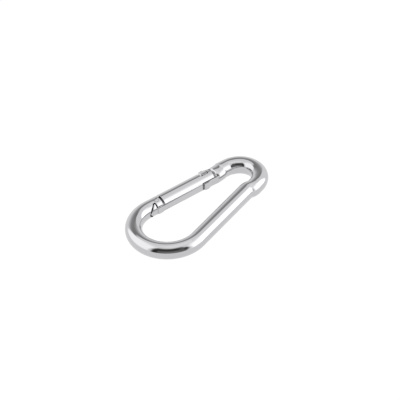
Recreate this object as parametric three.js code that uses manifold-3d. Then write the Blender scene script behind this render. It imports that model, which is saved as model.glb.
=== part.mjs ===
// Spring snap hook, 80 mm long, bent from 8 mm round wire. Millimetres, +Z up.
//
// The hook is laid out with the gate's own axis on the x axis: the hinge end of the bottom bend is at
// x = 0 and the nose lies towards +x. The open eye is on the -y side of the gate. The whole layout is
// moved at the end, so that the origin is under the middle of the hook, on the plane that it lies on.

import * as THREE from "three";
import { mergeVertices } from "three/addons/utils/BufferGeometryUtils.js";
import Module from "manifold-3d";

const manifold = await Module();
manifold.setup();

// Driving dimensions of the wire form.
const LENGTH = 80;
const WIDTH = 40;
const WIRE_R = 4;
const LEG_ANGLE = THREE.MathUtils.degToRad(18);
const BOW_R = 9.65;
const BOW_Y = -9.1;
const SHOULDER_R = 5.2;
const SHOULDER_RUN = 2;

// Wire cross-section: a polygon whose flats, not its corners, lie on the 8 mm circle, with one flat
// along the bottom and one along the top.
const WIRE_SIDES = 20;
const WIRE_STEPS = 104;

// Hinge.
const PIVOT_X = 4.5;
const PIVOT_Y = -0.7;
const RIVET_R = 1.05;
const RIVET_HOLE_R = 1.1;
const CHEEK_TIP_X = 6.2;
const CHEEK_CHAMFER = 0.5;
const SLOT_HALF = 1.95;
const SLOT_ROOT_X = 0.7;
const TONGUE_HALF = 1.75;
const TONGUE_R = 3.6;
const GATE_SHOULDER_X = 7.3;
const POCKET_CEILING_Y = -0.35;
const TRACK_HALF = 0.85;
const TRACK_CEILING_Y = 0.8;

// Gate and what it holds.
const GATE_TIP_X = 36.2;
const BORE_Y = -2.85;
const BORE_R = 0.78;
const BORE_END_X = 20.2;
const PLUNGER_R = 0.72;
const PLUNGER_TIP_X = -1.68;
const PLUNGER_BACK_X = 9;
const SPRING_START_X = 9.15;
const SPRING_END_X = 20.05;
const SPRING_MEAN_R = 0.56;
const SPRING_WIRE_R = 0.13;
const SPRING_TURNS = 14;

// Nose latch.
const NECK_HALF = 1.85;
const GATE_SLIT_HALF = 2;
const HEEL_PAD_Y = 4.42;
const HEEL_PAD_HALF = 1.6;
const BLOCK_START_X = 37.5;
const BLOCK_END_X = 43.2;
const BLOCK_HALF_WIDTH = 4.7;
const BLOCK_HALF_HEIGHT = 3.45;
const NOSE_LEG_X = 42.5;
const HEAD_LEFT_X = 31.1;
const HEAD_LEFT_LEAN = 0.3;
const HEAD_RIGHT_X = 34.6;
const HEAD_RIGHT_LEAN = 0.12;
const HEAD_OUTER_Y = 4.5;
const HEAD_INNER_Y = -4.6;
const HEAD_ROUND = 0.6;
const ARM_BOTTOM_Y = -0.5;
const NOTCH_LEFT_X = 30.5;
const LOCK_GAP = 0.25;
const PAST = 6;

// Worked out from the driving dimensions.
const BEND_R = WIDTH / 2 - WIRE_R;
const BOW_X = LENGTH - WIDTH / 2 - WIRE_R - BOW_R;
const BOW_TOP_Y = BOW_Y + BOW_R;

// A circular arc in the plane of the hook, from one angle to another.
class PlaneArc extends THREE.Curve {
  constructor(centre, radius, from, to) {
    super();
    this.centre = centre;
    this.radius = radius;
    this.from = from;
    this.to = to;
  }

  getPoint(t, target = new THREE.Vector3()) {
    const angle = this.from + (this.to - this.from) * t;
    const x = this.centre.x + this.radius * Math.cos(angle);
    const y = this.centre.y + this.radius * Math.sin(angle);
    return target.set(x, y, 0);
  }
}

function direction(angle) {
  return new THREE.Vector3(Math.cos(angle), Math.sin(angle), 0);
}

// The line that the wire follows: hinge cheeks, bottom bend, back leg, the set-out shoulder, top bow
// and the short leg of the nose.
function wireLine() {
  const quarter = Math.PI / 2;
  const along = direction(LEG_ANGLE);
  const across = direction(LEG_ANGLE + quarter);
  const bendCentre = new THREE.Vector3(0, -BEND_R, 0);
  const bowCentre = new THREE.Vector3(BOW_X, BOW_Y, 0);
  const legStart = bendCentre.clone().addScaledVector(across, -BEND_R);
  const toBow = bowCentre.clone().sub(legStart);
  const setOut = BOW_R - toBow.dot(across);
  const turn = Math.acos(1 - setOut / (2 * SHOULDER_R));
  const shoulderLength = 2 * SHOULDER_R * Math.sin(turn);
  const legLength = toBow.dot(along) - SHOULDER_RUN - shoulderLength;
  const legEnd = legStart.clone().addScaledVector(along, legLength);

  const firstCentre = legEnd.clone().addScaledVector(across, -SHOULDER_R);
  const first = new PlaneArc(firstCentre, SHOULDER_R, LEG_ANGLE + quarter, LEG_ANGLE + quarter - turn);
  const middle = first.getPoint(1);
  const secondCentre = middle.clone().addScaledVector(direction(LEG_ANGLE - turn + quarter), SHOULDER_R);
  const second = new PlaneArc(secondCentre, SHOULDER_R, LEG_ANGLE - turn - quarter, LEG_ANGLE - quarter);
  const bowStart = bowCentre.clone().addScaledVector(across, -BOW_R);

  const line = new THREE.CurvePath();
  line.add(new THREE.LineCurve3(new THREE.Vector3(CHEEK_TIP_X, 0, 0), new THREE.Vector3(0, 0, 0)));
  line.add(new PlaneArc(bendCentre, BEND_R, quarter, 3 * quarter + LEG_ANGLE));
  line.add(new THREE.LineCurve3(legStart, legEnd));
  line.add(first);
  line.add(second);
  line.add(new THREE.LineCurve3(second.getPoint(1), bowStart));
  line.add(new PlaneArc(bowCentre, BOW_R, LEG_ANGLE - quarter, quarter));
  line.add(new THREE.LineCurve3(
    new THREE.Vector3(BOW_X, BOW_TOP_Y, 0),
    new THREE.Vector3(NOSE_LEG_X, BOW_TOP_Y, 0),
  ));
  return line;
}

// A closed polygon round an ellipse, with its flats on the ellipse and at its four extremes.
function roundSection(halfWidth, halfHeight = halfWidth, sides = WIRE_SIDES) {
  const outset = 1 / Math.cos(Math.PI / sides);
  const points = [];
  for (let i = 0; i < sides; i += 1) {
    const angle = (2 * Math.PI * (i + 0.5)) / sides;
    points.push(new THREE.Vector2(
      halfWidth * outset * Math.cos(angle),
      halfHeight * outset * Math.sin(angle),
    ));
  }
  return new THREE.Shape(points);
}

function outline(pairs) {
  return new THREE.Shape(pairs.map(([a, b]) => new THREE.Vector2(a, b)));
}

function toSolid(geometry) {
  const bare = geometry.index ? geometry.clone() : geometry;
  bare.deleteAttribute("normal");
  bare.deleteAttribute("uv");
  const merged = mergeVertices(bare, 1e-5);
  return new manifold.Manifold(new manifold.Mesh({
    numProp: 3,
    vertProperties: new Float32Array(merged.attributes.position.array),
    triVerts: new Uint32Array(merged.index.array),
  }));
}

function toGeometry(solid) {
  const mesh = solid.getMesh();
  const geometry = new THREE.BufferGeometry();
  geometry.setAttribute("position", new THREE.BufferAttribute(new Float32Array(mesh.vertProperties), 3));
  geometry.setIndex(new THREE.BufferAttribute(new Uint32Array(mesh.triVerts), 1));
  return geometry;
}

// An outline given in x and y, extruded along z about the plane of the hook.
function prismZ(shape, half) {
  const geometry = new THREE.ExtrudeGeometry(shape, { depth: 2 * half, bevelEnabled: false });
  geometry.translate(0, 0, -half);
  return toSolid(geometry);
}

// An outline given in x and z, extruded along y between two levels.
function prismY(shape, low, high) {
  const geometry = new THREE.ExtrudeGeometry(shape, { depth: high - low, bevelEnabled: false });
  geometry.rotateX(Math.PI / 2);
  geometry.translate(0, high, 0);
  return toSolid(geometry);
}

// An outline given in y and z, extruded along x between two stations.
function prismX(shape, start, end) {
  const geometry = new THREE.ExtrudeGeometry(shape, { depth: end - start, bevelEnabled: false });
  geometry.rotateX(Math.PI / 2);
  geometry.rotateZ(Math.PI / 2);
  geometry.translate(start, 0, 0);
  return toSolid(geometry);
}

function box(low, high) {
  const geometry = new THREE.BoxGeometry(high[0] - low[0], high[1] - low[1], high[2] - low[2]);
  geometry.translate((low[0] + high[0]) / 2, (low[1] + high[1]) / 2, (low[2] + high[2]) / 2);
  return toSolid(geometry);
}

function rodZ(radius, half) {
  const geometry = new THREE.CylinderGeometry(radius, radius, 2 * half, 24);
  geometry.rotateX(Math.PI / 2);
  geometry.translate(PIVOT_X, PIVOT_Y, 0);
  return toSolid(geometry);
}

function rodX(radius, start, end) {
  const geometry = new THREE.CylinderGeometry(radius, radius, end - start, 16);
  geometry.rotateZ(Math.PI / 2);
  geometry.translate((start + end) / 2, BORE_Y, 0);
  return toSolid(geometry);
}

// The faces of the nose's cross bar. Both lean, so the bar draws free as the gate swings in, and its
// arms stop the gate as it swings out.
function headLeft(y, gap = 0) {
  return [HEAD_LEFT_X + HEAD_LEFT_LEAN * y - gap, y];
}

function headRight(y, gap = 0) {
  return [HEAD_RIGHT_X + HEAD_RIGHT_LEAN * y + gap, y];
}

// The T-shaped end of the nose: a flat neck that ends in a tall rounded lobe, and the two arms of the
// cross bar on the lobe's outer half.
function noseHead() {
  const shoulderY = HEAD_OUTER_Y - HEAD_ROUND;
  const crown = [
    headLeft(shoulderY),
    headLeft(HEAD_OUTER_Y, -HEAD_ROUND),
    headRight(HEAD_OUTER_Y, -HEAD_ROUND),
    headRight(shoulderY),
  ];
  const neck = outline([
    [BLOCK_START_X + 1, -4.2],
    [34, -4],
    [32.8, -4.2],
    [32, HEAD_INNER_Y],
    [30.4, HEAD_INNER_Y],
    headLeft(-4.1),
    ...crown,
    [39.5, 3.6],
    [BLOCK_START_X + 3, -4.2],
  ]);
  const arms = outline([headLeft(ARM_BOTTOM_Y), ...crown, headRight(ARM_BOTTOM_Y)]);
  const bar = prismX(roundSection(HEAD_OUTER_Y, WIRE_R), HEAD_LEFT_X - PAST, HEAD_RIGHT_X + PAST);
  return prismZ(neck, NECK_HALF).add(prismZ(arms, WIRE_R + 1).intersect(bar));
}

// The pressed block behind the latch: wider than the wire, flatter than it, cut back on its outer side,
// and sloped down to the neck.
function noseBlock() {
  const block = prismX(roundSection(BLOCK_HALF_WIDTH, BLOCK_HALF_HEIGHT), BLOCK_START_X, BLOCK_END_X);
  const cutBack = outline([
    [BLOCK_START_X - 1, 0.4],
    [BLOCK_START_X, 0.4],
    [BLOCK_START_X + 2.7, BLOCK_HALF_WIDTH + 0.4],
    [BLOCK_START_X - 1, BLOCK_HALF_WIDTH + 0.4],
  ]);
  const above = [[-0.1, 2.3], [0.9, BLOCK_HALF_HEIGHT + 0.3], [-0.1, BLOCK_HALF_HEIGHT + 0.3]];
  const slope = above.map(([x, z]) => [BLOCK_START_X + x, z]);
  const slopeBelow = slope.map(([x, z]) => [x, -z]);
  return block
    .subtract(prismZ(cutBack, PAST))
    .subtract(prismY(outline(slope), -PAST, PAST))
    .subtract(prismY(outline(slopeBelow), -PAST, PAST));
}

// Plan of the arrow-shaped heel of the gate, and of the pocket in the body that takes it.
const HEEL_PLAN = [[-0.8, 0.45], [-0.5, 0.85], [0.9, 2.25], [2.6, 3.4], [2.85, 3.4]];
const POCKET_PLAN = [[-1.78, 0.6], [-1.3, 1.1], [0, 2.45], [1.8, 3.6], [3.1, 3.6]];

function arrow(half) {
  const mirrored = half.map(([x, z]) => [x, -z]).reverse();
  return outline([...mirrored, ...half]);
}

// Body: the wire form with its fork, arrow-shaped pocket and rivet hole at the hinge, and its latch.
function bodySolid() {
  const line = wireLine();
  const wire = toSolid(new THREE.ExtrudeGeometry(roundSection(WIRE_R), {
    steps: WIRE_STEPS,
    extrudePath: line,
    bevelEnabled: false,
  }));
  const slot = box([SLOT_ROOT_X, -PAST, -SLOT_HALF], [CHEEK_TIP_X + 1, PAST, SLOT_HALF]);
  const pocket = prismY(arrow(POCKET_PLAN), -PAST, POCKET_CEILING_Y);
  const track = box([POCKET_PLAN[0][0], -2.2, -TRACK_HALF], [1, TRACK_CEILING_Y, TRACK_HALF]);
  const tipCorner = outline([
    [CHEEK_TIP_X - CHEEK_CHAMFER, -WIRE_R - 1],
    [CHEEK_TIP_X + 1, -WIRE_R - 1],
    [CHEEK_TIP_X + 1, CHEEK_CHAMFER - WIRE_R],
    [CHEEK_TIP_X, CHEEK_CHAMFER - WIRE_R],
    [CHEEK_TIP_X - CHEEK_CHAMFER, -WIRE_R],
  ]);
  return wire
    .add(noseBlock())
    .add(noseHead())
    .subtract(slot)
    .subtract(pocket)
    .subtract(track)
    .subtract(prismZ(tipCorner, PAST))
    .subtract(rodZ(RIVET_HOLE_R, PAST));
}

// Gate: a round bar. The hinge end is a flat tongue with the arrow-shaped heel and a pad that stands
// proud under the rivet, bored for the plunger and spring. The nose end is slit and notched to take the
// T-shaped head.
function gateSolid() {
  const bar = prismX(roundSection(WIRE_R), HEEL_PLAN[0][0], GATE_TIP_X);
  const shank = box([GATE_SHOULDER_X, -PAST, -PAST], [GATE_TIP_X + 1, PAST, PAST]);
  const neckTop = PIVOT_Y + TONGUE_R;
  const neck = box([PIVOT_X, -PAST, -TONGUE_HALF], [GATE_SHOULDER_X + 1, neckTop, TONGUE_HALF]);
  const knuckle = rodZ(TONGUE_R, TONGUE_HALF);
  const heelRise = outline([[-2, -PAST], [-2, -3.56], [2.85, -1.75], [2.85, -PAST]]);
  const heel = prismY(arrow(HEEL_PLAN), -PAST, 0).intersect(prismZ(heelRise, PAST));
  const web = prismZ(outline([[2, -PAST], [2, -2.07], [PIVOT_X, -1.75], [PIVOT_X + 1, -PAST]]), TONGUE_HALF);
  const kept = shank.add(neck).add(knuckle).add(heel).add(web);

  const slit = prismZ(outline([
    [26.6, -PAST],
    [26.6, -WIRE_R],
    [29.1, -3.65],
    [29.5, -3.2],
    [29.5, 0],
    [29.3, PAST],
    [GATE_TIP_X + 1, PAST],
    [GATE_TIP_X + 1, -PAST],
  ]), GATE_SLIT_HALF);
  const notchFloor = ARM_BOTTOM_Y - LOCK_GAP;
  const notch = prismZ(outline([
    [NOTCH_LEFT_X, notchFloor],
    headRight(notchFloor, LOCK_GAP),
    headRight(PAST, LOCK_GAP),
    [NOTCH_LEFT_X, PAST],
  ]), PAST);
  const heelPad = box([2.9, -HEEL_PAD_Y, -HEEL_PAD_HALF], [5.8, -3, HEEL_PAD_HALF]);
  return bar
    .intersect(kept)
    .add(heelPad)
    .subtract(rodZ(RIVET_HOLE_R, PAST))
    .subtract(rodX(BORE_R, -PAST, BORE_END_X))
    .subtract(slit)
    .subtract(notch);
}

// Rivet: a plain pin, peened and ground flush with the round of the two cheeks.
function rivetSolid() {
  return rodZ(RIVET_R, PAST).intersect(prismX(roundSection(WIRE_R), -PAST, CHEEK_TIP_X + PAST));
}

// Plunger: a straight pin with a rounded tip, turned as one profile about the bore's axis.
function plungerGeometry() {
  const length = PLUNGER_BACK_X - PLUNGER_TIP_X;
  const profile = [
    new THREE.Vector2(0, 0),
    new THREE.Vector2(PLUNGER_R * 0.6, 0.12),
    new THREE.Vector2(PLUNGER_R, 0.55),
    new THREE.Vector2(PLUNGER_R, length - 0.2),
    new THREE.Vector2(PLUNGER_R - 0.2, length),
    new THREE.Vector2(0, length),
  ];
  const geometry = new THREE.LatheGeometry(profile, 16);
  geometry.rotateZ(-Math.PI / 2);
  geometry.translate(PLUNGER_TIP_X, BORE_Y, 0);
  return toGeometry(toSolid(geometry));
}

// The line that the spring's wire follows. Its pitch closes up at both ends.
class CoilLine extends THREE.Curve {
  getPoint(t, target = new THREE.Vector3()) {
    const angle = 2 * Math.PI * SPRING_TURNS * t;
    const eased = t - 0.045 * Math.sin(4 * Math.PI * t) / 2;
    const first = SPRING_START_X + SPRING_WIRE_R;
    const last = SPRING_END_X - SPRING_WIRE_R;
    return target.set(
      first + (last - first) * eased,
      BORE_Y + SPRING_MEAN_R * Math.cos(angle),
      SPRING_MEAN_R * Math.sin(angle),
    );
  }
}

function springGeometry() {
  return new THREE.ExtrudeGeometry(roundSection(SPRING_WIRE_R, SPRING_WIRE_R, 6), {
    steps: SPRING_TURNS * 10,
    extrudePath: new CoilLine(),
    bevelEnabled: false,
  });
}

function mesh(name, geometry, colour, roughness) {
  const material = new THREE.MeshStandardMaterial({ color: colour, roughness, metalness: 1 });
  const piece = new THREE.Mesh(geometry, material);
  piece.name = name;
  return piece;
}

const layout = new THREE.Group();
layout.add(mesh("body", toGeometry(bodySolid()), 0xd9dade, 0.12));
layout.add(mesh("gate", toGeometry(gateSolid()), 0xd4d5da, 0.12));
layout.add(mesh("hinge_rivet", toGeometry(rivetSolid()), 0xcfd0d4, 0.2));
layout.add(mesh("plunger", plungerGeometry(), 0xb9bbc0, 0.3));
layout.add(mesh("gate_spring", springGeometry(), 0xa9abb0, 0.35));

const highY = Math.max(BOW_TOP_Y + WIRE_R, BLOCK_HALF_WIDTH, HEAD_OUTER_Y);
const lowY = WIRE_R - WIDTH;
layout.position.set(WIDTH / 2 - LENGTH / 2, -(highY + lowY) / 2, WIRE_R);

const hook = new THREE.Group();
hook.add(layout);

export default hook;
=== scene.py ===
import math

import bmesh
import bpy
from mathutils import Matrix, Vector


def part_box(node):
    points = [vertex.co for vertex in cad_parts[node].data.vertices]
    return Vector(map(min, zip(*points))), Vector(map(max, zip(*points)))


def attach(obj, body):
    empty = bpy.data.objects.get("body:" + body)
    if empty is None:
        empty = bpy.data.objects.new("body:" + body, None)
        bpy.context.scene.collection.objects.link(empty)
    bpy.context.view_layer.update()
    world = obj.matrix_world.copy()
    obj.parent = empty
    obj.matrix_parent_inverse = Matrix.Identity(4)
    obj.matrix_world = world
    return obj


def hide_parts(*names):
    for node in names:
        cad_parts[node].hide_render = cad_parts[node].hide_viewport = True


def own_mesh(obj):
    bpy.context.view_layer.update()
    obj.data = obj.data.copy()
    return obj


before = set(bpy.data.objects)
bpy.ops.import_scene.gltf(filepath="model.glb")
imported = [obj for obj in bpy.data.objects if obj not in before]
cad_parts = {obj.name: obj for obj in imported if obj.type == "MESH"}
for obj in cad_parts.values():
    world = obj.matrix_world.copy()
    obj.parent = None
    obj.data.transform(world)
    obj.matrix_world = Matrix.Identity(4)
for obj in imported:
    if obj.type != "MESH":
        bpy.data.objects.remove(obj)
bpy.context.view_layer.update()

# Where the hook lies in the frame. The hinge end of the wire, the gate and the nose share one straight
# axis. The bottom bend leaves that axis at the point called start.
MM = 0.001
WIRE_R = 4
BEND_R = 16
gate_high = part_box("gate")[1]
body_low, body_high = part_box("body")
axis_y = gate_high.y - (body_high.z - body_low.z) / 2
axis_z = (body_low.z + body_high.z) / 2
start = Vector((body_low.x + (BEND_R + WIRE_R) * MM, axis_y, axis_z))


def place(x, y, z=0.0):
    """A point given in millimetres along the gate, across it and up from the plane of the hook."""
    return start + Vector((x, y, z)) * MM


# ---------------------------------------------------------------------------------------------------
# Finish. The hook is stainless steel, ground and then tumbled in polishing media until it is mirror
# bright. The tumbling leaves a very faint orange peel and soft, slightly duller edges.


def group_socket(group, name, kind, in_out, value=None):
    socket = group.interface.new_socket(name=name, in_out=in_out, socket_type=kind)
    if value is not None:
        socket.default_value = value
    return socket


def make_tumbled_polish():
    """Roughness, colour and surface normal of tumbled steel, the same on every polished piece."""
    group = bpy.data.node_groups.new("tumbled_polish", "ShaderNodeTree")
    group_socket(group, "Steel", "NodeSocketColor", "INPUT", (0.6, 0.6, 0.6, 1))
    group_socket(group, "Haze", "NodeSocketFloat", "INPUT", 0.05)
    group_socket(group, "Haze Variation", "NodeSocketFloat", "INPUT", 0.03)
    group_socket(group, "Peel", "NodeSocketFloat", "INPUT", 0.05)
    group_socket(group, "Color", "NodeSocketColor", "OUTPUT")
    group_socket(group, "Roughness", "NodeSocketFloat", "OUTPUT")
    group_socket(group, "Normal", "NodeSocketVector", "OUTPUT")
    nodes, links = group.nodes, group.links
    given = nodes.new("NodeGroupInput")
    made = nodes.new("NodeGroupOutput")
    place_on_piece = nodes.new("ShaderNodeTexCoord")

    cloud = nodes.new("ShaderNodeTexNoise")
    cloud.inputs["Scale"].default_value = 260
    cloud.inputs["Detail"].default_value = 4
    links.new(place_on_piece.outputs["Object"], cloud.inputs["Vector"])
    haze = nodes.new("ShaderNodeMath")
    haze.operation = "MULTIPLY_ADD"
    links.new(cloud.outputs["Fac"], haze.inputs[0])
    links.new(given.outputs["Haze Variation"], haze.inputs[1])
    links.new(given.outputs["Haze"], haze.inputs[2])
    links.new(haze.outputs[0], made.inputs["Roughness"])

    stain = nodes.new("ShaderNodeTexNoise")
    stain.inputs["Scale"].default_value = 90
    stain.inputs["Detail"].default_value = 3
    links.new(place_on_piece.outputs["Object"], stain.inputs["Vector"])
    stain_range = nodes.new("ShaderNodeMapRange")
    stain_range.inputs["From Min"].default_value = 0.35
    stain_range.inputs["From Max"].default_value = 0.65
    stain_range.inputs["To Min"].default_value = 0.97
    stain_range.inputs["To Max"].default_value = 1.0
    links.new(stain.outputs["Fac"], stain_range.inputs["Value"])
    tint = nodes.new("ShaderNodeMix")
    tint.data_type = "RGBA"
    tint.blend_type = "MULTIPLY"
    tint.inputs[0].default_value = 1
    links.new(given.outputs["Steel"], tint.inputs[6])
    links.new(stain_range.outputs["Result"], tint.inputs[7])
    links.new(tint.outputs[2], made.inputs["Color"])

    dimple = nodes.new("ShaderNodeTexNoise")
    dimple.inputs["Scale"].default_value = 620
    dimple.inputs["Detail"].default_value = 2
    links.new(place_on_piece.outputs["Object"], dimple.inputs["Vector"])
    bump = nodes.new("ShaderNodeBump")
    bump.inputs["Distance"].default_value = 0.00002
    links.new(given.outputs["Peel"], bump.inputs["Strength"])
    links.new(dimple.outputs["Fac"], bump.inputs["Height"])
    links.new(bump.outputs["Normal"], made.inputs["Normal"])
    return group


tumbled_polish = make_tumbled_polish()


def polished_steel(name, colour, haze, haze_variation=0.03, peel=0.2):
    material = bpy.data.materials.new(name)
    material.use_nodes = True
    nodes, links = material.node_tree.nodes, material.node_tree.links
    shader = nodes["Principled BSDF"]
    shader.inputs["Metallic"].default_value = 1
    polish = nodes.new("ShaderNodeGroup")
    polish.node_tree = tumbled_polish
    polish.inputs["Steel"].default_value = (*colour, 1)
    polish.inputs["Haze"].default_value = haze
    polish.inputs["Haze Variation"].default_value = haze_variation
    polish.inputs["Peel"].default_value = peel
    links.new(polish.outputs["Color"], shader.inputs["Base Color"])
    links.new(polish.outputs["Roughness"], shader.inputs["Roughness"])
    links.new(polish.outputs["Normal"], shader.inputs["Normal"])
    return material


# ---------------------------------------------------------------------------------------------------
# Body. One length of 8 mm round stainless wire, bent cold in one plane on three formers: the wide bottom
# bend, the set-out at the top of the back leg and the narrow bow.

ROUND_SIDES = 128
BOW_R = 9.65
BOW_CENTRE = Vector((46.35, -9.1, 0))
LEG_TURN = math.radians(18)
SHOULDER_R = 5.2
SHOULDER_RUN = 2
BOW_SWEEP = math.pi - LEG_TURN
CHEEK_TIP_X = 6.2
NOSE_LEG_X = 42.3
BOW_SQUARENESS = 0.4
SQUARENESS_FADE = math.radians(18)


def heading(angle):
    return Vector((math.cos(angle), math.sin(angle), 0))


def edges_of(verts):
    """Each edge at these vertices once, in an order that is the same on every run."""
    return list(dict.fromkeys(edge for vert in verts for edge in vert.link_edges))


def new_ring(bm, x, half_y, half_z, centre_y=0.0, sides=ROUND_SIDES):
    """A ring of the section at one station along the gate's axis. Returns its edges."""
    turn = Matrix.Rotation(math.pi / 2, 4, "Y")
    made = bmesh.ops.create_circle(bm, cap_ends=False, segments=sides, radius=MM, matrix=turn)
    bmesh.ops.scale(bm, vec=(1, half_y, half_z), verts=made["verts"])
    bmesh.ops.translate(bm, vec=place(x, centre_y), verts=made["verts"])
    return edges_of(made["verts"])


def bend_on(bm, edges, centre, angle, step=0.032):
    """Carries the section round a former."""
    steps = max(2, round(abs(angle) / step))
    spun = bmesh.ops.spin(
        bm, geom=edges, cent=place(*centre), axis=(0, 0, 1), angle=angle, steps=steps,
        use_merge=False, use_duplicate=False,
    )
    return [item for item in spun["geom_last"] if isinstance(item, bmesh.types.BMEdge)]


def run_straight(bm, edges, along, length, step=0.6):
    steps = max(1, round(length / step))
    run = bmesh.ops.spin(
        bm, geom=edges, cent=start, axis=(0, 0, 1), dvec=along * (length * MM / steps), angle=0,
        steps=steps, use_merge=False, use_duplicate=False,
    )
    return [item for item in run["geom_last"] if isinstance(item, bmesh.types.BMEdge)]


def finish_mesh(bm, name):
    bmesh.ops.remove_doubles(bm, verts=bm.verts, dist=1e-7)
    bmesh.ops.recalc_face_normals(bm, faces=bm.faces)
    mesh = bpy.data.meshes.new(name)
    bm.to_mesh(mesh)
    bm.free()
    piece = bpy.data.objects.new(name, mesh)
    bpy.context.scene.collection.objects.link(piece)
    return piece


def flatten_bow(bm):
    """Bending round the small bow squeezes the inside of the wire, which leaves it a little flattened."""
    centre = place(*BOW_CENTRE)
    for vert in bm.verts:
        arm = vert.co - centre
        rise = arm.z / MM
        arm.z = 0
        inward = BOW_R - arm.length / MM
        reach = math.hypot(inward, rise)
        turned_by = math.atan2(arm.y, arm.x) + math.pi / 2 - LEG_TURN
        if inward <= 0 or abs(reach - WIRE_R) > 0.1 or not 0 < turned_by < BOW_SWEEP:
            continue
        depth = min(turned_by, BOW_SWEEP - turned_by) / SQUARENESS_FADE
        power = 2 + BOW_SQUARENESS * min(1, depth)
        swell = ((inward / reach) ** power + (abs(rise) / reach) ** power) ** (-1 / power)
        arm.length = (BOW_R - inward * swell) * MM
        vert.co = centre + arm + Vector((0, 0, rise * swell * MM))


def bent_wire():
    bm = bmesh.new()
    across = heading(LEG_TURN + math.pi / 2)
    along = heading(LEG_TURN)
    bend_centre = Vector((0, -BEND_R, 0))
    leg_start = bend_centre - across * BEND_R
    to_bow = BOW_CENTRE - leg_start
    set_out = BOW_R - to_bow.dot(across)
    turn = math.acos(1 - set_out / (2 * SHOULDER_R))
    leg_length = to_bow.dot(along) - SHOULDER_RUN - 2 * SHOULDER_R * math.sin(turn)
    leg_end = leg_start + along * leg_length
    first = leg_end - across * SHOULDER_R
    middle = first + heading(LEG_TURN + math.pi / 2 - turn) * SHOULDER_R
    second = middle + heading(LEG_TURN - turn + math.pi / 2) * SHOULDER_R

    edges = new_ring(bm, CHEEK_TIP_X, WIRE_R, WIRE_R)
    bmesh.ops.contextual_create(bm, geom=edges)
    edges = run_straight(bm, edges, Vector((-1, 0, 0)), CHEEK_TIP_X)
    edges = bend_on(bm, edges, bend_centre, math.pi + LEG_TURN)
    edges = run_straight(bm, edges, along, leg_length, 1.2)
    edges = bend_on(bm, edges, first, -turn, 0.06)
    edges = bend_on(bm, edges, second, turn, 0.06)
    edges = run_straight(bm, edges, along, SHOULDER_RUN)
    edges = bend_on(bm, edges, BOW_CENTRE, BOW_SWEEP, 0.045)
    edges = run_straight(bm, edges, Vector((-1, 0, 0)), BOW_CENTRE.x - NOSE_LEG_X)
    bmesh.ops.contextual_create(bm, geom=edges)
    flatten_bow(bm)
    return finish_mesh(bm, "hook_body")


hook_body = bent_wire()


# The nose end of the wire is pressed between dies into a block that is wider and flatter than the wire,
# with its latch side cut back, and ends in a flat neck with a T-shaped head.


PAST = 6  # how far a cutter reaches, well past the metal


def pushed(points, reach, name):
    """A solid made by pushing a flat outline along a straight line."""
    bm = bmesh.new()
    face = bm.faces.new([bm.verts.new(point) for point in points])
    raised = bmesh.ops.extrude_face_region(bm, geom=[face])
    top = [item for item in raised["geom"] if isinstance(item, bmesh.types.BMVert)]
    bmesh.ops.translate(bm, vec=reach, verts=top)
    return finish_mesh(bm, name)


def prism(outline, half, name):
    """A flat plate cut to an outline in the plane of the hook, as thick as twice the given half."""
    return pushed([place(x, y, -half) for x, y in outline], (0, 0, 2 * half * MM), name)


def plunged(plan, low, high, name):
    """A cutter with its outline seen from the eye, sunk from one level across the wire to another."""
    return pushed([place(x, low, z) for x, z in plan], (0, (high - low) * MM, 0), name)


def block(low, high, name):
    bm = bmesh.new()
    bmesh.ops.create_cube(bm, size=1)
    size = Vector(high) - Vector(low)
    middle = (Vector(high) + Vector(low)) / 2
    bmesh.ops.scale(bm, vec=size * MM, verts=bm.verts)
    bmesh.ops.translate(bm, vec=place(*middle), verts=bm.verts)
    return finish_mesh(bm, name)


def bar_x(radius, x_from, x_to, y, name, sides=ROUND_SIDES):
    bm = bmesh.new()
    edges = new_ring(bm, x_from, radius, radius, y, sides)
    bmesh.ops.contextual_create(bm, geom=edges)
    edges = run_straight(bm, edges, Vector((1, 0, 0)), x_to - x_from, x_to - x_from)
    bmesh.ops.contextual_create(bm, geom=edges)
    return finish_mesh(bm, name)


def pin_z(radius, half, name, x, y, sides=64):
    bm = bmesh.new()
    bmesh.ops.create_cone(
        bm, cap_ends=True, segments=sides, radius1=radius * MM, radius2=radius * MM, depth=2 * half * MM,
        matrix=Matrix.Translation(place(x, y)),
    )
    return finish_mesh(bm, name)


def work(piece, kind, tool):
    """Joins, cuts or trims a piece with a tool, and throws the tool away."""
    step = piece.modifiers.new(kind.lower(), "BOOLEAN")
    step.operation = kind
    step.object = tool
    step.solver = "EXACT"
    bpy.context.view_layer.update()
    graph = bpy.context.evaluated_depsgraph_get()
    mesh = bpy.data.meshes.new_from_object(piece.evaluated_get(graph))
    piece.modifiers.clear()
    old = piece.data
    piece.data = mesh
    bpy.data.meshes.remove(old)
    bpy.data.objects.remove(tool)


# Stations along the block: x, outer half of the section, inner half and half height.
BLOCK_STATIONS = (
    (37.15, 3.2, 3.7, 1.7),
    (37.5, 3.6, 4.0, 2.35),
    (37.9, 3.95, 4.3, 3.05),
    (38.3, 4.15, 4.45, 3.38),
    (39.2, 4.3, 4.56, 3.5),
    (40.3, 4.45, 4.52, 3.52),
    (41.4, 4.62, 4.36, 3.52),
    (42.3, 4.7, 4.2, 3.52),
    (42.8, 4.66, 4.05, 3.5),
    (43.1, 4.5, 3.9, 3.4),
    (43.3, 4.2, 3.75, 3.25),
)


def lofted(stations, name, sides=ROUND_SIDES):
    """A solid through ellipses along the gate's axis. A station is x, two half sizes and the centre's y."""
    bm = bmesh.new()
    edges = None
    for x, half_y, half_z, centre_y in stations:
        ring = new_ring(bm, x, half_y, half_z, centre_y, sides)
        if edges is None:
            bmesh.ops.contextual_create(bm, geom=ring)
        else:
            bmesh.ops.bridge_loops(bm, edges=edges + ring)
        edges = ring
    bmesh.ops.contextual_create(bm, geom=edges)
    return finish_mesh(bm, name)


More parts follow.
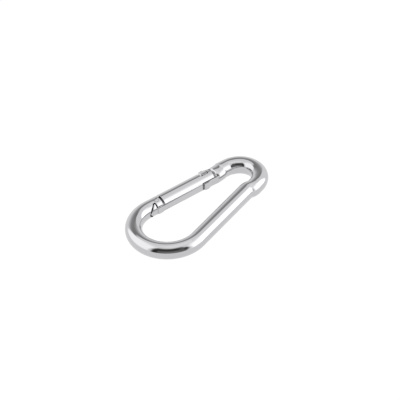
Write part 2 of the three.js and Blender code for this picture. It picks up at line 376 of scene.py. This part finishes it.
def rounded(corners, radius, steps=5):
    """The outline with each of its corners turned on a radius."""
    points = []
    count = len(corners)
    for i, corner in enumerate(corners):
        here = Vector(corner)
        before = Vector(corners[i - 1]) - here
        after = Vector(corners[(i + 1) % count]) - here
        reach = min(radius, before.length * 0.45, after.length * 0.45)
        first = here + before.normalized() * reach
        last = here + after.normalized() * reach
        for k in range(steps + 1):
            t = k / steps
            points.append(tuple(first * (1 - t) ** 2 + here * 2 * t * (1 - t) + last * t * t))
    return points


NECK_HALF = 1.85
NECK_ROUND = 0.9
ARM_ROUND = 0.7
ARM_SWELL = 1.12
ARM_BOTTOM_Y = -0.5
HEAD_TOP_Y = 4.5
HEAD_BOTTOM_Y = -4.6


def head_left(y):
    return 31.1 + 0.3 * y


def head_right(y, gap=0.0):
    return 34.6 + 0.12 * y + gap


neck_outline = rounded(
    (
        (39.0, -4.2), (34.2, -3.9), (32.9, -4.1), (32.2, HEAD_BOTTOM_Y), (30.2, HEAD_BOTTOM_Y),
        (head_left(-4.2), -4.2), (head_left(HEAD_TOP_Y), HEAD_TOP_Y),
        (head_right(HEAD_TOP_Y), HEAD_TOP_Y), (head_right(3.4), 3.4), (39.5, 3.4),
    ),
    NECK_ROUND,
)
arm_outline = rounded(
    (
        (head_left(ARM_BOTTOM_Y), ARM_BOTTOM_Y), (head_left(HEAD_TOP_Y), HEAD_TOP_Y),
        (head_right(HEAD_TOP_Y), HEAD_TOP_Y), (head_right(ARM_BOTTOM_Y), ARM_BOTTOM_Y),
    ),
    ARM_ROUND,
)
nose_arms = prism(arm_outline, WIRE_R + 1, "nose_arms")
arm_bar = bar_x(WIRE_R, 26, 40, 0, "arm_bar")
to_axis = Matrix.Translation((0, axis_y, 0))
arm_bar.data.transform(to_axis @ Matrix.Diagonal((1, ARM_SWELL, 1, 1)) @ to_axis.inverted())
work(nose_arms, "INTERSECT", arm_bar)
block_rings = [
    (x, (outer + inner) / 2, height, (outer - inner) / 2) for x, outer, inner, height in BLOCK_STATIONS
]
work(hook_body, "UNION", lofted(block_rings, "pressed_block"))
cut_back = ((36.5, 0.6), (37.5, 0.6), (38.1, 2.6), (39.8, 4.9), (36.5, 5.2))
work(hook_body, "DIFFERENCE", prism(cut_back, PAST, "cut_back"))
work(hook_body, "UNION", prism(neck_outline, NECK_HALF, "nose_neck"))
work(hook_body, "UNION", nose_arms)

# The hinge end of the wire is milled into a fork for the gate's tongue, with an arrow-shaped pocket on
# the eye side for the gate's heel, a narrow track for the plunger, and a cross hole for the rivet.

PIVOT = (4.5, -0.7)
RIVET_R = 1.05
RUNNING_GAP = 0.05
SLOT_HALF = 2
TRACK_HALF = 0.85
POCKET_CEILING_Y = -0.35
POCKET_PLAN = ((-1.7, 0.55), (-1.3, 1.05), (0.0, 2.4), (1.8, 3.62), (3.15, 3.62))


def arrow(half):
    """The arrow-shaped plan, from its right half given as x and z from the tip back."""
    return [(x, -z) for x, z in reversed(half)] + list(half)


fork_slot = block((0.7, -PAST, -SLOT_HALF), (CHEEK_TIP_X + 1, PAST, SLOT_HALF), "fork_slot")
work(hook_body, "DIFFERENCE", fork_slot)
work(hook_body, "DIFFERENCE", plunged(arrow(POCKET_PLAN), -PAST, POCKET_CEILING_Y, "heel_pocket"))
track = block((-1.95, -2.4, -TRACK_HALF), (1, 0.8, TRACK_HALF), "plunger_track")
work(hook_body, "DIFFERENCE", track)
tip_corner = ((5.7, -5), (7.2, -5), (7.2, -3.5), (6.2, -3.5), (5.7, -4))
work(hook_body, "DIFFERENCE", prism(tip_corner, PAST, "tip_corner"))
work(hook_body, "DIFFERENCE", pin_z(RIVET_R + RUNNING_GAP, PAST, "rivet_drill", *PIVOT))


EDGE_BREAK = 0.13
SLIVER = 0.035
CRUMB = 0.02
SEAM = 0.004


def break_edges(piece, angle=35):
    """Rounds every cut edge, as tumbling does. Slivers that the cuts leave are closed up first."""
    bm = bmesh.new()
    bm.from_mesh(piece.data)
    bmesh.ops.remove_doubles(bm, verts=bm.verts, dist=SLIVER * MM)
    bmesh.ops.dissolve_degenerate(bm, edges=bm.edges, dist=CRUMB * MM)
    sharp = math.radians(angle)
    cut = [edge for edge in bm.edges if edge.is_manifold and edge.calc_face_angle(0) > sharp]
    bmesh.ops.bevel(
        bm, geom=cut, offset=EDGE_BREAK * MM, offset_type="OFFSET", segments=3, profile=0.5,
        affect="EDGES", material=-1, clamp_overlap=False, miter_outer="ARC",
    )
    bmesh.ops.remove_doubles(bm, verts=bm.verts, dist=SEAM * MM)
    loose = [edge for edge in bm.edges if edge.is_wire]
    bmesh.ops.delete(bm, geom=loose, context="EDGES")
    bm.to_mesh(piece.data)
    bm.free()


def smooth(piece, angle=28):
    """Smooth shading that keeps cut edges crisp, and keeps long faces true right up to a rounded edge."""
    mesh = piece.data
    mesh.shade_smooth()
    mesh.set_sharp_from_angle(angle=math.radians(angle))
    true_faces = piece.modifiers.new("true_faces", "WEIGHTED_NORMAL")
    true_faces.keep_sharp = True
    true_faces.weight = 75


break_edges(hook_body)
smooth(hook_body)
STEEL = (0.600, 0.597, 0.613)
STEEL_HAZE = 0.045
hook_body.data.materials.clear()
hook_body.data.materials.append(polished_steel("body_steel", STEEL, STEEL_HAZE))
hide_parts("body")
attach(hook_body, "hook_body")


# ---------------------------------------------------------------------------------------------------
# Gate. Turned from 8 mm bar: a flat tongue, an arrow-shaped heel and a proud pad at the hinge end, and at
# the nose end a slit for the neck with a cross notch for the arms of the T. Bored for the plunger and
# spring.

SHOULDER_X = 7.3
TIP_X = 36.2
TONGUE_HALF = 1.65
TONGUE_R = 3.6
HEEL_PLAN = ((-0.95, 0.42), (-0.6, 0.82), (0.75, 2.15), (2.35, 3.3), (2.65, 3.3))
BORE_Y = -2.85
BORE_R = 0.78
BORE_END_X = 20.2

HEEL_BACK_X = HEEL_PLAN[-1][0]
SLIT_HALF = 2
LOCK_GAP = 0.25

gate = bar_x(WIRE_R, HEEL_PLAN[0][0], TIP_X, 0, "swing_gate")
kept = block((SHOULDER_X, -PAST, -PAST), (TIP_X + 1, PAST, PAST), "shank")
tongue_low = (PIVOT[0], -PAST, -TONGUE_HALF)
tongue_high = (SHOULDER_X + 1, PIVOT[1] + TONGUE_R, TONGUE_HALF)
work(kept, "UNION", block(tongue_low, tongue_high, "tongue"))
work(kept, "UNION", pin_z(TONGUE_R, TONGUE_HALF, "knuckle", *PIVOT, sides=96))
heel = plunged(arrow(HEEL_PLAN), -PAST, 0, "heel")
heel_rise = ((-2, -PAST), (-2, -3.56), (HEEL_BACK_X, -1.8), (HEEL_BACK_X, -PAST))
work(heel, "INTERSECT", prism(heel_rise, PAST, "heel_rise"))
work(kept, "UNION", heel)
web = ((2, -PAST), (2, -2.07), (PIVOT[0], -1.75), (PIVOT[0] + 1, -PAST))
work(kept, "UNION", prism(web, TONGUE_HALF, "web"))
work(gate, "INTERSECT", kept)
work(gate, "UNION", block((2.9, -4.42, -1.6), (5.8, -3, 1.6), "heel_pad"))
work(gate, "DIFFERENCE", pin_z(RIVET_R + RUNNING_GAP, PAST, "gate_drill", *PIVOT))
work(gate, "DIFFERENCE", bar_x(BORE_R, -PAST, BORE_END_X, BORE_Y, "spring_bore", 48))
slit = (
    (26.6, -PAST), (26.6, -WIRE_R), (29.1, -3.65), (29.55, -3.2), (29.55, 0), (29.35, PAST),
    (TIP_X + 1, PAST), (TIP_X + 1, -PAST),
)
work(gate, "DIFFERENCE", prism(slit, SLIT_HALF, "neck_slit"))
notch_floor = ARM_BOTTOM_Y - LOCK_GAP
notch = (
    (30.5, notch_floor), (head_right(notch_floor, LOCK_GAP), notch_floor),
    (head_right(PAST, LOCK_GAP), PAST), (30.5, PAST),
)
work(gate, "DIFFERENCE", prism(notch, PAST, "arm_notch"))
break_edges(gate)
smooth(gate)
gate.data.materials.clear()
gate.data.materials.append(polished_steel("gate_steel", STEEL, STEEL_HAZE))
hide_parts("gate")
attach(gate, "gate")


# ---------------------------------------------------------------------------------------------------
# Hinge rivet. A steel pin through both cheeks and the tongue, peened and ground flush with the round of
# the wire before the hook was polished, so only a hairline shows.

FLUSH_GAP = 0.01

rivet = pin_z(RIVET_R, PAST, "hinge_pin", *PIVOT)
work(rivet, "INTERSECT", bar_x(WIRE_R - FLUSH_GAP, -2, 12, 0, "cheek_round"))
smooth(rivet)
rivet.data.materials.clear()
rivet.data.materials.append(polished_steel("rivet_steel", (0.57, 0.567, 0.58), 0.08))
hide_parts("hinge_rivet")
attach(rivet, "hook_body")


# ---------------------------------------------------------------------------------------------------
# Plunger. A turned steel pin with a rounded tip and a broken edge at its back. It slides in the gate's
# bore, and its tip bears on the end wall of the pocket.

PLUNGER_R = 0.72
PLUNGER_PROFILE = (
    (-1.6, 0.42), (-1.54, 0.52), (-1.4, 0.63), (-1.2, 0.7), (-1.0, PLUNGER_R),
    (8.8, PLUNGER_R), (9.0, 0.55),
)

plunger_rings = [(x, radius, radius, BORE_Y) for x, radius in PLUNGER_PROFILE]
plunger = lofted(plunger_rings, "spring_plunger", sides=48)
smooth(plunger)
plunger.data.materials.append(polished_steel("plunger_steel", (0.5, 0.5, 0.51), 0.22, 0.08, 0.3))
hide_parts("plunger")
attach(plunger, "plunger")


# ---------------------------------------------------------------------------------------------------
# Spring. Wound from drawn steel wire, with its ends closed, and pushed into the bore behind the plunger.

SPRING_FROM = 9.15
SPRING_TO = 20.05
SPRING_MEAN_R = 0.56
SPRING_WIRE_R = 0.13
SPRING_TURNS = 14
STEPS_A_TURN = 24


def wound_spring():
    bm = bmesh.new()
    wire_end = place(SPRING_FROM + SPRING_WIRE_R, BORE_Y + SPRING_MEAN_R)
    made = bmesh.ops.create_circle(
        bm, cap_ends=False, segments=10, radius=SPRING_WIRE_R * MM,
        matrix=Matrix.Translation(wire_end),
    )
    edges = edges_of(made["verts"])
    bmesh.ops.contextual_create(bm, geom=edges)
    steps = SPRING_TURNS * STEPS_A_TURN
    run = SPRING_TO - SPRING_FROM - 2 * SPRING_WIRE_R
    spun = bmesh.ops.spin(
        bm, geom=edges, cent=place(0, BORE_Y), axis=(1, 0, 0), angle=2 * math.pi * SPRING_TURNS,
        dvec=(run * MM / steps, 0, 0), steps=steps, use_merge=False, use_duplicate=False,
    )
    edges = [item for item in spun["geom_last"] if isinstance(item, bmesh.types.BMEdge)]
    bmesh.ops.contextual_create(bm, geom=edges)
    return finish_mesh(bm, "gate_spring_coil")


spring = wound_spring()
smooth(spring, 40)
spring.data.materials.append(polished_steel("spring_steel", (0.42, 0.42, 0.43), 0.28, 0.1, 0.3))
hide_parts("gate_spring")
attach(spring, "gate")
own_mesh(spring)


# ---------------------------------------------------------------------------------------------------
# Studio. A white table lit from below as well as above, two large soft boxes, a grey card behind, and the
# dark part of the room behind the camera.

TABLE_HALF = 6
TABLE_GLOW_SEEN = 1.0
TABLE_GLOW_MIRRORED = 0.90

floor_mesh = bpy.data.meshes.new("table")
bm = bmesh.new()
bmesh.ops.create_grid(bm, x_segments=1, y_segments=1, size=TABLE_HALF)
bm.to_mesh(floor_mesh)
bm.free()
table = bpy.data.objects.new("table", floor_mesh)
bpy.context.scene.collection.objects.link(table)
table_white = bpy.data.materials.new("table_white")
table_white.use_nodes = True
white = table_white.node_tree.nodes["Principled BSDF"]
white.inputs["Roughness"].default_value = 0.9
white.inputs["Specular IOR Level"].default_value = 0
white.inputs["Emission Color"].default_value = (1, 1, 1, 1)
white.inputs["Base Color"].default_value = (0.04, 0.04, 0.04, 1)
seen = table_white.node_tree.nodes.new("ShaderNodeLightPath")
glow = table_white.node_tree.nodes.new("ShaderNodeMapRange")
glow.inputs["To Min"].default_value = TABLE_GLOW_MIRRORED
glow.inputs["To Max"].default_value = TABLE_GLOW_SEEN
table_white.node_tree.links.new(seen.outputs["Is Camera Ray"], glow.inputs["Value"])
table_white.node_tree.links.new(glow.outputs["Result"], white.inputs["Emission Strength"])
floor_mesh.materials.append(table_white)

world = bpy.data.worlds.new("studio")
bpy.context.scene.world = world
world.use_nodes = True
sky_nodes, sky_links = world.node_tree.nodes, world.node_tree.links
sky_nodes.clear()
look = sky_nodes.new("ShaderNodeTexCoord")


DEGREES = 180 / math.pi


def feed(socket, value):
    """Sets a socket to a number, or links it to another node's output."""
    if isinstance(value, (int, float)):
        socket.default_value = value
    else:
        sky_links.new(value, socket)


def math_node(operation, *values):
    node = sky_nodes.new("ShaderNodeMath")
    node.operation = operation
    for socket, value in zip(node.inputs, values):
        feed(socket, value)
    return node.outputs[0]


def ramp_between(value, low, high):
    node = sky_nodes.new("ShaderNodeMapRange")
    node.interpolation_type = "SMOOTHSTEP"
    sky_links.new(value, node.inputs["Value"])
    node.inputs["From Min"].default_value = low
    node.inputs["From Max"].default_value = high
    return node.outputs["Result"]


split = sky_nodes.new("ShaderNodeSeparateXYZ")
sky_links.new(look.outputs["Generated"], split.inputs[0])
height = math_node("MULTIPLY", math_node("ARCSINE", split.outputs["Z"]), DEGREES)


def bearing_from(middle):
    """Degrees to the right of a bearing, which is itself given in degrees from +Y towards +X."""
    turn = sky_nodes.new("ShaderNodeVectorRotate")
    turn.rotation_type = "Z_AXIS"
    turn.inputs["Angle"].default_value = math.radians(middle)
    sky_links.new(look.outputs["Generated"], turn.inputs["Vector"])
    parts = sky_nodes.new("ShaderNodeSeparateXYZ")
    sky_links.new(turn.outputs["Vector"], parts.inputs[0])
    bearing = math_node("ARCTAN2", parts.outputs["X"], parts.outputs["Y"])
    return math_node("MULTIPLY", bearing, DEGREES)


def panel(middle, half, low, high, soft_side, soft_low, soft_high):
    """How much of a soft-edged panel lies in each direction. All its measures are in degrees."""
    off = math_node("ABSOLUTE", bearing_from(middle))
    inside = math_node("SUBTRACT", 1, ramp_between(off, half - soft_side, half + soft_side))
    above = ramp_between(height, low - soft_low, low + soft_low)
    below = math_node("SUBTRACT", 1, ramp_between(height, high - soft_high, high + soft_high))
    return math_node("MULTIPLY", math_node("MULTIPLY", inside, above), below)


def layer(under, mask, level):
    """Lays a panel of one brightness over what is behind it."""
    node = sky_nodes.new("ShaderNodeMix")
    node.data_type = "FLOAT"
    sky_links.new(mask, node.inputs[0])
    feed(node.inputs[2], under)
    feed(node.inputs[3], level)
    return node.outputs[0]


# The card behind fades from the table up. Each other panel is a middle, half width, low and high edge,
# the softness of its sides, foot and top, and its brightness.
ROOM_LEVEL = 0.98
CARD_FOOT = 0.95
CARD_FADE = 0.69
card_fade = math_node("MULTIPLY", ramp_between(height, 8, 48), CARD_FADE)
card_level = math_node("SUBTRACT", CARD_FOOT, card_fade)
light = layer(ROOM_LEVEL, panel(27, 36, -10, 49, 4, 5, 3), card_level)
PANELS = (
    (-52, 38, 5, 66, 4, 8, 12, 1.45),  # left soft box
    (124, 23, -8, 48, 5, 5, 19, 2.0),  # right soft box
    (148, 12, -6, 46, 6, 6, 18, 1.72),  # its spill on the near wall
    (-143, 44, 0, 62, 6, 6, 9, 0.17),  # dark room
    (-137, 36, 30, 55, 10, 8, 8, 0.05),  # its darkest part
    (-146, 19, 6, 18, 8, 5, 5, 0.26),  # a lighter wall below that
    (-107, 7, 3, 40, 4, 5, 8, 0.04),  # black flag on the left
    (173, 6, 14, 44, 3, 6, 8, 0.07),  # black flag on the right
)
for *edges, level in PANELS:
    light = layer(light, panel(*edges), level)
sky = sky_nodes.new("ShaderNodeBackground")
sky_links.new(light, sky.inputs["Strength"])
sky.inputs["Color"].default_value = (1.0, 1.0, 1.0, 1)
sky_out = sky_nodes.new("ShaderNodeOutputWorld")
sky_links.new(sky.outputs["Background"], sky_out.inputs["Surface"])

soft_top = bpy.data.lights.new("soft_top", "AREA")
soft_top.shape = "RECTANGLE"
soft_top.size = 0.9
soft_top.size_y = 0.7
soft_top.energy = 0.3
soft_top_lamp = bpy.data.objects.new("soft_top", soft_top)
soft_top_lamp.location = (0.15, -0.1, 1.3)
bpy.context.scene.collection.objects.link(soft_top_lamp)

# Camera. A long lens from above the eye side of the hook.
lens_place = Vector((-0.37617508, -0.52220256, 0.55190542))
lens_target = Vector((0.00244891, 0.00555864, 0.004))
view_data = bpy.data.cameras.new("view")
view_data.lens = 165.73
view_data.sensor_width = 36
view_data.clip_start = 0.01
view_data.clip_end = 20
view_point = bpy.data.objects.new("view", view_data)
bpy.context.scene.collection.objects.link(view_point)
look_along = (lens_target - lens_place).to_track_quat("-Z", "Y")
camera_roll = Matrix.Rotation(math.radians(-3.046), 4, "Z").to_quaternion()
view_point.rotation_mode = "QUATERNION"
view_point.rotation_quaternion = look_along @ camera_roll
view_point.location = lens_place
bpy.context.scene.camera = view_point
bpy.context.scene.view_settings.view_transform = "Standard"
